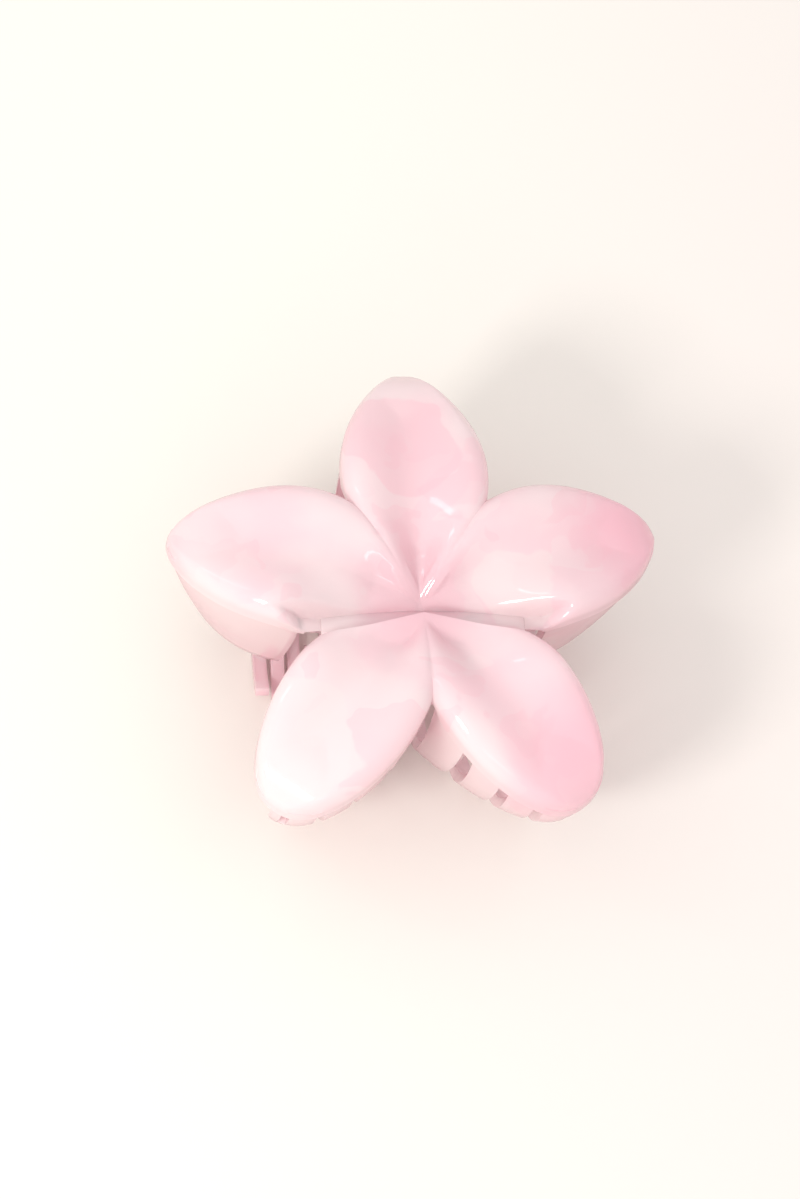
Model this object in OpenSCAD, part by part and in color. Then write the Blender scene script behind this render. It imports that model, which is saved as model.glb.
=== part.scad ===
// Flower claw clip: two moulded halves, one with three petals and one with two,
// that turn on a steel pin under the flower's centre and are pressed shut by a
// torsion spring. Each half carries its petals and a comb of curved prongs.
// X runs along the hinge, +Y towards the single upper petal, +Z up through the
// flower. The origin is under the middle of the clip, where the prongs stand.

/* [Flower] */
// Distance from the flower's centre to a petal's tip
petal_len = 42; // [39:0.5:46]
// Full width of a petal where it is widest
petal_w = 24; // [22:0.25:25]
// Height of the petals' tips above the surface the clip stands on
tip_z = 30; // [28:0.5:33]
// Rise of the petals' rims above their tips
rim_rise = 7.5; // [6:0.25:9]
// Drop from a rim's crest to its rolled outer edge
rim_drop = 3; // [2:0.1:3.6]
// Depth of the channel along a petal, next to the centre
channel_depth = 4.8; // [3.5:0.1:5.4]
// Wall thickness of both mouldings
wall = 1.6; // [1.3:0.05:1.9]
// Plain lip below a petal's edge, above the slots of the comb
lip_h = 2.2; // [1.6:0.1:3]

/* [Jaws] */
// Distance between two prongs of one comb
prong_pitch = 5.75; // [5.4:0.05:6.1]
// Width of the slot between two prongs, at its top
slot_w = 1.2; // [0.8:0.1:1.6]
// Width of a prong at its tip
prong_tip_w = 2.2; // [1.6:0.1:2.4]
// How far the jaws are set in under the petals' edges
jaw_inset = 0.5; // [0.3:0.05:0.9]
// Length of the flat land that each prong stands on
land_len = 3.5; // [2:0.25:4.5]
// Distance of the lands' outer ends from the closing line of the jaws
land_y = 9; // [8:0.25:11]
// How far a prong's tip passes the closing line
tip_pass = 4.5; // [3:0.25:5]
// Rise of a prong's tip above the lands
tip_rise = 2.6; // [1.5:0.1:3.5]
// Height of the guard walls' lower edge under the side petals
guard_z = 10; // [8:0.5:14]

/* [Hinge] */
// Offset of the hinge line from the flower's centre, towards the front petals
hinge_y = -5; // [-5.5:0.1:-4.5]
// Radius of the hinge pin
pin_r = 1.1; // [0.8:0.05:1.3]
// Radial running clearance between the pin and the lugs
pin_gap = 0.05; // [0.02:0.01:0.1]
// Thickness of one hinge lug
lug_t = 2.2; // [1.6:0.1:2.6]
// Gap between a front lug and the back lug beside it
lug_gap = 0.3; // [0.2:0.05:0.5]
// Half length of the space between the front lugs, which holds the spring
spring_bay = 4.4; // [4.1:0.1:5]
// Opening angle of the front half
open_angle = 40; // [20:1:42]
// Radius of a pin head
head_r = 1.9; // [1.6:0.05:2.4]
// Thickness of a pin head
head_t = 0.8; // [0.5:0.1:1.2]

/* [Spring] */
// Diameter of the spring wire
wire_d = 1; // [0.7:0.05:1.1]
// Mean radius of the coil
coil_r = 2; // [1.9:0.05:2.1]
// Number of turns
coil_turns = 6; // [4:1:6]
// Length of a spring leg from the hinge line
leg_len = 11.5; // [10:0.25:12]

/* [Hidden] */

pink = [0.98, 0.80, 0.84];
steel = [0.75, 0.76, 0.78];

// Clearances that aren't sizes of their own; sink is how far one surface hides in another
sink = 0.25;
seat_gap = 0.05;
shell_gap = 0.3;

// The barrel is the rounded floor of the valley that hides the hinge
barrel_in = coil_r + wire_d / 2 + 0.5;
barrel_r = barrel_in + 1.4;
hinge_z = tip_z + 1.4 - barrel_r;
barrel_half = 16.5;
lug_r = barrel_in - 0.5;

// Lug stations along X, from the middle outwards
front_lug_x = spring_bay;
back_lug_x = front_lug_x + lug_t + lug_gap;
head_x = back_lug_x + lug_t + seat_gap;

// Petal directions, clockwise from the right-hand back petal
wedge = 36;
dir_right = 18;
dir_top = 90;
dir_left = 162;
dir_low_left = 234;
dir_low_right = 306;

// Middle of the clip's length in Y, which the origin stands under
y_mid = 3.32;

// Sampling of the moulded surfaces
side_steps = 7;
jaw_steps = 8;
ray_steps = [0.04, 0.18, 0.34, 0.5, 0.64, 0.76, 0.85, 0.91, 0.955, 0.985, 1];
front_ray_steps = [0.04, 0.2, 0.36, 0.51, 0.64, 0.76, 0.85, 0.91, 0.955, 0.985, 1];

// Shape of a petal's outline and crest
crest_skew = 0.8;
crest_at = 0.74;
root_lap = 2;
tip_roll = 4.5;
tip_fill = 12;
jaw_lean = 0.03;

function clamp(v, lo, hi) = min(max(v, lo), hi);
function ramp(v) = (1 - cos(180 * clamp(v, 0, 1))) / 2;
function soft_min(a, b, k) = (a + b - sqrt((a - b) * (a - b) + k * k)) / 2;
function soft_max(a, b, k) = (a + b + sqrt((a - b) * (a - b) + k * k)) / 2;

// A petal is [direction, left side, right side]. A side is "full", "low" beside the
// hinge valley, "round" on the front petals or "seam" where they ride over the valley
top_petal = [dir_top, "full", "full"];
left_petal = [dir_left, "low", "full"];
right_petal = [dir_right, "full", "low"];
low_left_petal = [dir_low_left, "round", "seam"];
low_right_petal = [dir_low_right, "seam", "round"];

// Half width of a petal's side at distance r from the flower's centre
function bulge(r, width, skew, roundness) =
    let(u = clamp(r / petal_len, 0, 1))
    width / 2 * pow(max(sin(180 * pow(u, skew)), 0), roundness);
function side_w(r, side) =
    side == "seam"
        ? bulge(r, petal_w * 0.87, 1.2, 0.4)
        : side == "round"
            ? bulge(r, petal_w, 1.08, 0.45)
            : bulge(r, petal_w, 1, 0.6);

// Where neighbouring petals' outlines meet
function meet(r, n) = n == 0 ? r : meet(side_w(r, "full") / tan(wedge), n - 1);
mouth_r = meet(15, 6);

// Petal coordinates (r along it, s to its left) to the flower's own
function place(p, r, s) = [
    r * cos(p[0]) - s * sin(p[0]),
    r * sin(p[0]) + s * cos(p[0])
];

// Heights along a petal. Beside the hinge valley the crests start low: on the back
// half at the barrel's top, on the front half just above the barrel it rides over
function crest_z(r) =
    tip_z + rim_rise * sin(180 * pow(clamp(r / petal_len, 0, 1), crest_skew));
function channel_z(r) =
    let(u = clamp(r / petal_len, 0, 1))
    crest_z(r) - channel_depth * (1 - pow(u, 1.2)) * clamp(r / 8, 0, 1);
back_low_z = tip_z + 1.2;
front_low_z = hinge_z + barrel_r + 2.2;
function side_crest_z(r, side) =
    side == "low"
        ? back_low_z + (crest_z(r) - back_low_z) * ramp((r - 7) / 16)
        : side == "seam"
            ? front_low_z + (crest_z(r) - front_low_z) * ramp((r - 9) / 14)
            : crest_z(r);
function edge_drop(r) = rim_drop * ramp((r - 3) / 9);
function roll(v) = 1 - sqrt(max(1 - v * v, 0));

// Height of one petal's skin over a place, falling away fast outside its outline
function petal_z(p, x, y) =
    let(
        r = x * cos(p[0]) + y * sin(p[0]),
        s = -x * sin(p[0]) + y * cos(p[0]),
        side = s >= 0 ? p[1] : p[2],
        inner_w = (max(r, 0) + root_lap) * tan(wedge),
        w = r < 4 ? inner_w : min(side_w(r, side), inner_w),
        e = abs(s) / max(w, 0.05),
        near_tip = (r - petal_len + tip_fill) / (tip_fill - tip_roll),
        fill = ramp(max(e / crest_at, near_tip)),
        side_roll = roll(clamp((e - crest_at) / (1 - crest_at), 0, 1)),
        end_roll = roll(clamp((r - petal_len + tip_roll) / tip_roll, 0, 1)),
        low = channel_z(r),
        crest = side_crest_z(r, side)
    )
    low + (crest - low) * fill
        - edge_drop(r) * max(side_roll, end_roll)
        - 1.5 * max(abs(s) - w - 0.2, 0);

// The hinge valley. The front half's edge beside it runs straight from its apex to
// where the outline of its petal begins
seam_r = 16.5;
back_apex = [0, -2.4];
front_apex = [0, -3.2];
front_corner = place(low_left_petal, seam_r, -side_w(seam_r, "seam"));
saddle_r = barrel_r + 0.3 + wall + 0.1;
flank_slack = 2.5;
function seam_y(x) =
    front_apex[1] + (front_corner[1] - front_apex[1]) * abs(x) / abs(front_corner[0]);

// Steepest angle of the back half's flank beside the valley, seen along X, that the
// front half's edge clears when it opens
function flank_angle(x) =
    atan2(saddle_r, seam_y(x) - hinge_y) - open_angle - flank_slack;
function free_radius(x) =
    barrel_r + 0.3 * max(abs(x) - 16, 0) + 0.9 * max(abs(x) - 20, 0);
function back_cap(x, y) =
    let(
        d = y - hinge_y,
        barrel = hinge_z + sqrt(max(pow(free_radius(x) - sink, 2) - d * d, 0)),
        flank = hinge_z + d * tan(min(flank_angle(x), 85))
    )
    max(barrel, flank);
cap_soft = 1.2;

// Skin heights of the two halves
function back_z(x, y) =
    soft_min(
        max(petal_z(top_petal, x, y), petal_z(left_petal, x, y), petal_z(right_petal, x, y)),
        back_cap(x, y),
        cap_soft
    );
function front_z(x, y) =
    let(
        d = y - hinge_y,
        saddle = hinge_z + sqrt(max(saddle_r * saddle_r - d * d, 0))
    )
    soft_max(
        max(petal_z(low_left_petal, x, y), petal_z(low_right_petal, x, y)),
        saddle,
        0.4
    );
function skin_z(x, y, back) = back ? back_z(x, y) : front_z(x, y);

// A place on a petal's outline: t runs from -1 at its left mouth over 0 at its tip to
// 1 at its right mouth
function outline_r(t) = mouth_r + (petal_len - mouth_r) * cos(90 * t);
function outline_t(r) = acos((abs(r) - mouth_r) / (petal_len - mouth_r)) / 90 * (r > 0 ? -1 : 1);
function outline_point(p, t, inset) =
    let(
        r = outline_r(t),
        w = side_w(r, t < 0 ? p[1] : p[2]),
        pull = 1.25 * inset * pow(clamp(r / petal_len, 0, 1), 4)
    )
    place(p, r - pull, (t < 0 ? 1 : -1) * w * (1 - 2 * inset / petal_w));
function steps(a, b, n) = [for (i = [0:n]) a + (b - a) * i / n];

// Columns of a half's skin, each [petal, t], from its left seam to its right one
back_columns = concat(
    [for (t = steps(outline_t(seam_r), 1, 2 * side_steps)) [left_petal, t]],
    [for (t = steps(-1, 1, 2 * side_steps)) if (t > -1 && t < 1) [top_petal, t]],
    [for (t = steps(-1, outline_t(-seam_r), 2 * side_steps)) [right_petal, t]]
);
front_columns = concat(
    [for (t = steps(outline_t(-seam_r), -1, 2 * side_steps)) [low_left_petal, t]],
    [
        for (t = steps(1, outline_t(seam_r), 2 * side_steps))
            if (t < 1) [low_right_petal, t]
    ]
);

// One ray of skin from the apex to the outline, with the lip under its end.
// Where the ray is short, the lip is low so that it stays off the hinge
function lip(r) = lip_h * clamp((r - mouth_r) / 4, 0.1, 1);
function skin_ray(column, back, inset) =
    let(
        apex = back ? back_apex : front_apex,
        end = outline_point(column[0], column[1], inset),
        edge = outline_point(column[0], column[1], 0),
        r = outline_r(column[1])
    )
    concat(
        [
            for (f = back ? ray_steps : front_ray_steps)
                let(q = apex + f * (end - apex), o = apex + f * (edge - apex))
                [q[0], q[1], skin_z(o[0], o[1], back) - inset]
        ],
        [[end[0], end[1], skin_z(edge[0], edge[1], back) - inset - lip(r)]]
    );

// Skin of a whole half
module skin(columns, back) {
    sheet(
        [for (c = columns) skin_ray(c, back, 0)],
        [for (c = columns) skin_ray(c, back, wall)],
        back
    );
}

// Room above a half's skin, used to trim what is fixed to its underside
sky = 20;
module above(columns, back) {
    low = [
        for (c = columns)
            [
                for (q = skin_ray(c, back, 0))
                    [q[0], q[1], q[2] - 0.4]
            ]
    ];
    kept = [for (ray = low) [for (i = [0:len(ray) - 2]) ray[i]]];
    high = [for (ray = kept) [for (q = ray) [q[0], q[1], tip_z + sky]]];
    sheet(high, kept, back);
}

// Two triangles of a four-cornered patch, turned over when flip is set
function quad(a, b, c, d, flip) =
    flip ? [[a, b, c], [a, c, d]] : [[a, c, b], [a, d, c]];

// A closed sheet between two grids of points of the same size
module sheet(outer, inner, flip = false) {
    rows = len(outer);
    cols = len(outer[0]);
    n = rows * cols;
    points = concat([for (row = outer) each row], [for (row = inner) each row]);
    function id(i, j, k) = k * n + i * cols + j;
    faces = concat(
        [
            for (i = [0:rows - 2], j = [0:cols - 2], k = [0, 1])
                each quad(id(i, j, k), id(i, j + 1, k), id(i + 1, j + 1, k),
                    id(i + 1, j, k), (k == 1) != flip)
        ],
        [
            for (j = [0:cols - 2])
                each concat(
                    quad(id(0, j + 1, 0), id(0, j, 0), id(0, j, 1), id(0, j + 1, 1), flip),
                    quad(id(rows - 1, j, 0), id(rows - 1, j + 1, 0),
                        id(rows - 1, j + 1, 1), id(rows - 1, j, 1), flip)
                )
        ],
        [
            for (i = [0:rows - 2])
                each concat(
                    quad(id(i, 0, 0), id(i + 1, 0, 0), id(i + 1, 0, 1), id(i, 0, 1), flip),
                    quad(id(i + 1, cols - 1, 0), id(i, cols - 1, 0),
                        id(i, cols - 1, 1), id(i + 1, cols - 1, 1), flip)
                )
        ]
    );
    polyhedron(points, faces);
}

// Where a wall hangs from: a point of a petal's outline and its height
function is_back(p) = p[0] < 180;
function wall_top(p, t, inset) =
    let(
        xy = outline_point(p, t, inset),
        edge = outline_point(p, t, 0),
        r = outline_r(t),
        z = side_crest_z(r, t < 0 ? p[1] : p[2]) - edge_drop(r)
    )
    [xy[0], xy[1], z - lip_h / 2];

// Profile of a prong, from the petal's edge over its land to its tip.
// k runs from 0 to 1 down the curve, then to 2 over the land and to 3 at the tip
function prong_point(top, k, side, lift) =
    let(
        yb = side * land_y,
        yl = side * (land_y - land_len),
        yt = -side * tip_pass,
        bend = 90 * clamp(k, 0, 1),
        on_land = clamp(k - 1, 0, 1),
        on_tip = clamp(k - 2, 0, 1),
        x = top[0] * (1 - jaw_lean * (1 - cos(bend))),
        y = yb + (top[1] - yb) * cos(bend) + (yl - yb) * on_land + (yt - yl) * on_tip,
        z = lift + (top[2] - lift) * (1 - sin(bend)) + tip_rise * on_tip * on_tip
    )
    [x, y, z];

jaw_ks = concat([for (i = [0:jaw_steps]) i / jaw_steps], [2, 2.5, 3]);

// Jaw wall under a petal's outline, from t0 to t1
module jaw(p, t0, t1, n) {
    side = is_back(p) ? 1 : -1;
    columns = steps(t0, t1, n);
    function grid(inset, lift) = [
        for (k = jaw_ks)
            [for (t = columns) prong_point(wall_top(p, t, inset), k, side, lift)]
    ];
    sheet(grid(jaw_inset, 0), grid(jaw_inset + wall, wall));
}

// Guard wall under a side petal's outline, from t0 to t1
guard_steps = 3;
guard_lean = 0.3;
guard_centre = 24;
module guard(p, t0, t1, n) {
    columns = steps(t0, t1, n);
    centre = place(p, guard_centre, 0);
    function grid(inset) = [
        for (i = [0:guard_steps])
            [
                for (t = columns)
                    let(
                        top = wall_top(p, t, inset),
                        f = i / guard_steps,
                        pull = guard_lean * pow(f, 1.5)
                    )
                    [
                        top[0] + (centre[0] - top[0]) * pull,
                        top[1] + (centre[1] - top[1]) * pull,
                        top[2] + (guard_z - top[2]) * f
                    ]
            ]
    ];
    sheet(grid(jaw_inset), grid(jaw_inset + wall));
}

// Slot between two prongs at x: it widens downwards, and along the lands to the tips
slot_mid_w = 2.2;
slot_knee_z = 8;
module slot(x, side) {
    reach = petal_len + 5;
    top_z = tip_z + rim_rise;
    translate([x, 0, 0])
        rotate([90, 0, 0])
            translate([0, 0, side > 0 ? -reach : -tip_pass - 1])
                linear_extrude(reach + tip_pass + 1)
                    polygon([
                        [-slot_w / 2, top_z],
                        [slot_w / 2, top_z],
                        [slot_mid_w / 2, slot_knee_z],
                        [slot_mid_w / 2, -1],
                        [-slot_mid_w / 2, -1],
                        [-slot_mid_w / 2, slot_knee_z]
                    ]);
    full = prong_pitch - prong_tip_w;
    translate([x, 0, -1])
        linear_extrude(slot_knee_z + 1)
            polygon([
                [-slot_mid_w / 2, side * 26],
                [slot_mid_w / 2, side * 26],
                [full / 2, side * (land_y - land_len)],
                [full / 2, -side * (tip_pass + 1)],
                [-full / 2, -side * (tip_pass + 1)],
                [-full / 2, side * (land_y - land_len)]
            ]);
}

// The barrel is a half tube round the hinge line, between two angles from +Y
module barrel(from, to) {
    segments = 24;
    span = to - from;
    function ring(r) = [
        for (i = [0:segments])
            let(a = from + span * i / segments)
            [hinge_y + r * cos(a), hinge_z + r * sin(a)]
    ];
    edge = ring(barrel_in);
    outline = concat(ring(barrel_r), [for (i = [segments:-1:0]) edge[i]]);
    translate([-barrel_half, 0, 0])
        rotate([90, 0, 90])
            linear_extrude(2 * barrel_half)
                polygon(outline);
}

// Angles round the hinge line, from +Y over +Z: the ends of the barrel
barrel_from = -12;
barrel_to = 146;
stop_slack = 1;

// Keeper bars under the spring's legs
keeper_r = 1.1;
keeper_y = 9;
keeper_z = -coil_r - wire_d / 2 - keeper_r;
under_petal = 8;
plate_foot = 6;

// Side view of a front lug, from the hinge line: eye, neck, plate and closing heel
module front_lug_shape() {
    heel_top = barrel_from - stop_slack;
    heel_end = -70;
    circle(r = lug_r, $fn = 48);
    polygon([
        [-0.6, 1],
        [-2.3, -0.7],
        [-barrel_r - 0.8, -1.3],
        [-barrel_r - 0.8, under_petal],
        [-keeper_y - 2.5, under_petal],
        [-keeper_y - 2.5, keeper_z],
        [-keeper_y, keeper_z - keeper_r - 0.4],
        [-1, -lug_r + 0.3]
    ]);
    polygon([
        [0, 0],
        for (a = [heel_top:-5:heel_end]) 4.1 * [cos(a), sin(a)]
    ]);
}

// Side view of a back lug: eye, web up to the barrel and plate out to the keeper bar
module back_lug_shape() {
    circle(r = lug_r, $fn = 48);
    polygon([
        [-lug_r + 0.1, 0],
        [-barrel_in - 0.5, 1.2],
        [-1.6, barrel_in + 0.6],
        [2, barrel_in + 0.6],
        [3, under_petal],
        [keeper_y + 2.5, under_petal],
        [keeper_y + 2.5, keeper_z],
        [keeper_y, keeper_z - keeper_r - 0.4],
        [1, -lug_r + 0.3]
    ]);
}

// A side view given thickness at both stations along X
module on_both_sides(x0, thick) {
    for (s = [-1, 1])
        translate([s * (x0 + thick / 2), hinge_y, hinge_z])
            rotate([90, 0, 90])
                linear_extrude(thick, center = true)
                    children();
}
module keeper(side, half) {
    translate([0, hinge_y + side * keeper_y, hinge_z + keeper_z])
        rotate([0, 90, 0])
            cylinder(r = keeper_r, h = 2 * half, center = true, $fn = 32);
}
module front_lugs() {
    difference() {
        on_both_sides(front_lug_x, lug_t)
            front_lug_shape();
        above(front_columns, false);
    }
    keeper(-1, front_lug_x + 1);
}
module back_lugs() {
    difference() {
        on_both_sides(back_lug_x, lug_t)
            back_lug_shape();
        above(back_columns, true);
    }
    keeper(1, back_lug_x + 1);
}
module pin_bore() {
    translate([0, hinge_y, hinge_z])
        rotate([0, 90, 0])
            cylinder(r = pin_r + pin_gap, h = 2 * head_x + 2, center = true, $fn = 48);
}

// Where the walls begin and end along a petal's sides, as a distance from the centre
top_comb_r = 24;
back_comb_r = 31;
front_comb_r = 30;
seam_guard_r = 17.5;
past_mouth = 1.04;

// The front comb's outermost prongs: a short window in place of a slot, and an outer
// side that runs in to the prong's tip
window_z = 16;
module outer_prong_trim() {
    tip_x = 3.5 * prong_pitch + prong_tip_w / 2;
    slot_x = 4 * prong_pitch;
    for (s = [-1, 1])
        rotate([90, 0, 0])
            linear_extrude(120, center = true) {
                polygon([
                    [s * tip_x, -1],
                    [s * tip_x, 5],
                    [s * (slot_x + 4), 24],
                    [s * (slot_x + 20), 24],
                    [s * (slot_x + 20), -1]
                ]);
                translate([s * slot_x, (window_z + tip_z + rim_rise) / 2])
                    square([slot_w, tip_z + rim_rise - window_z], center = true);
            }
}

module back_shell() {
    comb_t = outline_t(-back_comb_r);
    guard_t = outline_t(seam_guard_r);
    difference() {
        union() {
            skin(back_columns, true);
            barrel(barrel_from, barrel_to);
            guard(left_petal, guard_t, comb_t + 0.03, 10);
            guard(right_petal, -comb_t - 0.03, -guard_t, 10);
            difference() {
                union() {
                    jaw(top_petal, outline_t(top_comb_r), outline_t(-top_comb_r), 12);
                    jaw(left_petal, comb_t, past_mouth, 7);
                    jaw(right_petal, -past_mouth, -comb_t, 7);
                }
                for (i = [-5:4])
                    slot((i + 0.5) * prong_pitch, 1);
            }
        }
        rotate([0, 90, 0])
            translate([-hinge_z, hinge_y, 0])
                cylinder(r = barrel_in, h = 2 * barrel_half + 1, center = true, $fn = 48);
    }
}

module front_shell() {
    comb_t = outline_t(front_comb_r);
    difference() {
        union() {
            skin(front_columns, false);
            difference() {
                union() {
                    jaw(low_left_petal, -past_mouth, -comb_t, 14);
                    jaw(low_right_petal, comb_t, past_mouth, 14);
                }
                for (i = [-3:3])
                    slot(i * prong_pitch, -1);
                outer_prong_trim();
            }
        }
        rotate([0, 90, 0])
            translate([-hinge_z, hinge_y, 0])
                cylinder(r = barrel_r + shell_gap, h = 100, center = true, $fn = 48);
    }
}

module back_half() {
    color(pink)
        translate([0, -y_mid, 0])
            difference() {
                minkowski() {
                    union() {
                        back_shell();
                        back_lugs();
                    }
                }
                pin_bore();
            }
}

module front_half() {
    color(pink)
        translate([0, -y_mid, 0])
            difference() {
                minkowski() {
                    union() {
                        front_shell();
                        front_lugs();
                    }
                }
                pin_bore();
            }
}

module hinge_pin() {
    color(steel)
        translate([0, hinge_y - y_mid, hinge_z])
            rotate([0, 90, 0]) {
                cylinder(r = pin_r, h = 2 * head_x, center = true, $fn = 48);
                for (s = [-1, 1])
                    translate([0, 0, s * (head_x + head_t / 2)])
                        cylinder(r = head_r, h = head_t, center = true, $fn = 48);
            }
}

// Centre line of the spring: back leg, coil and front leg, as [x, y, z] from the hinge line
coil_pitch = (2 * spring_bay - wire_d - 0.9) / coil_turns;
coil_half = coil_pitch * coil_turns / 2;
turn_steps = 16;
spring_path = concat(
    [[-coil_half, -leg_len, -coil_r]],
    [
        for (i = [0:coil_turns * turn_steps])
            let(a = -90 + 360 * i / turn_steps)
            [-coil_half + coil_pitch * i / turn_steps, coil_r * cos(a), coil_r * sin(a)]
    ],
    [[coil_half, leg_len, -coil_r]]
);
wire_sides = 8;

// Wire section at point i of the path, square to the path and never twisted
function wire_ring(i) =
    let(
        n = len(spring_path),
        before = spring_path[max(i - 1, 0)],
        after = spring_path[min(i + 1, n - 1)],
        t = (after - before) / norm(after - before),
        u0 = cross(t, [1, 0, 0]),
        u = u0 / norm(u0),
        v = cross(t, u)
    )
    [
        for (k = [0:wire_sides - 1])
            let(a = 360 * k / wire_sides)
            spring_path[i] + wire_d / 2 * (cos(a) * u + sin(a) * v)
    ];

module torsion_spring() {
    n = len(spring_path);
    m = wire_sides;
    points = [for (i = [0:n - 1]) each wire_ring(i)];
    sides = [
        for (i = [0:n - 2], k = [0:m - 1])
            let(q = (k + 1) % m)
            each quad(m * i + k, m * i + q, m * (i + 1) + q, m * (i + 1) + k, false)
    ];
    ends = [[for (k = [0:m - 1]) k], [for (k = [m - 1:-1:0]) m * (n - 1) + k]];
    color(steel)
        translate([0, hinge_y - y_mid, hinge_z])
            polyhedron(points, concat(sides, ends));
}

back_half();
front_half();
hinge_pin();
torsion_spring();
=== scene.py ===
"""A five-petal flower claw clip of marbled plastic on a pale floor.

Two moulded halves turn on a steel pin and are pressed shut by a torsion spring. The
visible mouldings follow the same formulas as the fixed frame, on a finer mesh. Sizes
are in millimetres up to the point where a mesh is finished, and in metres after it.
"""

import logging
import math
from dataclasses import dataclass, field
from enum import Enum
from typing import Callable, Iterable, Sequence

import bmesh
import bpy
from mathutils import Matrix, Vector


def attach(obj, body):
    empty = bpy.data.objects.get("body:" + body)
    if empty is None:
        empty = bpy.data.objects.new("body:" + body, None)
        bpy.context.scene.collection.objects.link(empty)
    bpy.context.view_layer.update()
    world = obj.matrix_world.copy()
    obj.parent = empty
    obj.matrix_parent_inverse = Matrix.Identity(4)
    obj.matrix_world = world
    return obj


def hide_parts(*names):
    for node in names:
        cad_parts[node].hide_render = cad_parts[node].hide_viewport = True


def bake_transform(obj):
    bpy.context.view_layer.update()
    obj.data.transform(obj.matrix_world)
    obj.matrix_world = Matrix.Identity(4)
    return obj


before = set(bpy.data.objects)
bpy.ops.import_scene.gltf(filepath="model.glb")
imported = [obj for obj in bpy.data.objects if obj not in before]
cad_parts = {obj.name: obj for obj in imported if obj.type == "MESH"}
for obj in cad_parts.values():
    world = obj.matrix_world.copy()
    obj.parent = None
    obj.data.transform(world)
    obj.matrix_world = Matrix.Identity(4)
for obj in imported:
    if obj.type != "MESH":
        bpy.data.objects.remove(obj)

LOG = logging.getLogger("claw_clip")
MM = 0.001
TO_SKIN = 8.0

Point = tuple[float, float, float]
Colour = tuple[float, float, float]
Tint = Colour | bpy.types.NodeSocket


class Side(Enum):
    """How one side of a petal is shaped."""

    FULL = "full"
    LOW = "low beside the hinge valley"
    ROUND = "round, on the front petals"
    SEAM = "riding over the hinge valley"


class Slot(Enum):
    """The record's material slots."""

    PLASTIC = "petal_plastic"
    PIN = "pin_steel"
    SPRING = "spring_steel"


class Body(Enum):
    """The two bodies that the hinge joins."""

    BACK = "back"
    FRONT = "front"


# ---------------------------------------------------------------- small maths


def sin_d(angle: float) -> float:
    """Sine of an angle in degrees."""
    return math.sin(math.radians(angle))


def cos_d(angle: float) -> float:
    """Cosine of an angle in degrees."""
    return math.cos(math.radians(angle))


def clamp(value: float, low: float, high: float) -> float:
    """Value kept between low and high."""
    return min(max(value, low), high)


def ramp(value: float) -> float:
    """Smooth step from 0 to 1."""
    return (1 - cos_d(180 * clamp(value, 0, 1))) / 2


def quarter_roll(value: float) -> float:
    """Drop of a rounded edge, from 0 on its crest to 1 at its side."""
    return 1 - math.sqrt(max(1 - value * value, 0))


def soft_min(a: float, b: float, width: float) -> float:
    """The lower of two heights with a rounded change between them."""
    return (a + b - math.hypot(a - b, width)) / 2


def soft_max(a: float, b: float, width: float) -> float:
    """The higher of two heights with a rounded change between them."""
    return (a + b + math.hypot(a - b, width)) / 2


def lerp(a: float, b: float, share: float) -> float:
    """The value that lies a share of the way from a to b."""
    return a + (b - a) * share


def spread(values: Sequence[float], share: float) -> float:
    """The value a share of the way along a list of values.

    Args:
        values: Two or more evenly spaced values.
        share: How far along them, from 0 to 1.

    Returns:
        The value there.
    """
    place = clamp(share, 0, 1) * (len(values) - 1)
    i = min(int(place), len(values) - 2)
    return lerp(values[i], values[i + 1], place - i)


def linear(red: int, green: int, blue: int) -> Colour:
    """A colour as linear light.

    Args:
        red: Its red as a display value from 0 to 255.
        green: Its green.
        blue: Its blue.

    Returns:
        The linear colour.
    """

    def one(value: int) -> float:
        """One channel as linear light."""
        v = value / 255
        return v / 12.92 if v <= 0.04045 else ((v + 0.055) / 1.055) ** 2.4

    return one(red), one(green), one(blue)


# ---------------------------------------------------------------- the flower's form


@dataclass(frozen=True)
class Petal:
    """One petal: its direction in degrees from +X and the shape of its two sides."""

    direction: float
    left: Side
    right: Side

    def place(self, r: float, s: float) -> tuple[float, float]:
        """A point r along the petal and s to its left, in the flower's own axes."""
        c, n = cos_d(self.direction), sin_d(self.direction)
        return r * c - s * n, r * n + s * c

    def along(self, x: float, y: float) -> tuple[float, float]:
        """The distances along the petal and to its left of a point of the flower."""
        c, n = cos_d(self.direction), sin_d(self.direction)
        return x * c + y * n, -x * n + y * c

    def side(self, s: float) -> Side:
        """The side that a distance to the left lies on."""
        return self.left if s >= 0 else self.right


TOP = Petal(90, Side.FULL, Side.FULL)
LEFT = Petal(162, Side.LOW, Side.FULL)
RIGHT = Petal(18, Side.FULL, Side.LOW)
LOW_LEFT = Petal(234, Side.ROUND, Side.SEAM)
LOW_RIGHT = Petal(306, Side.SEAM, Side.ROUND)


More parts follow.
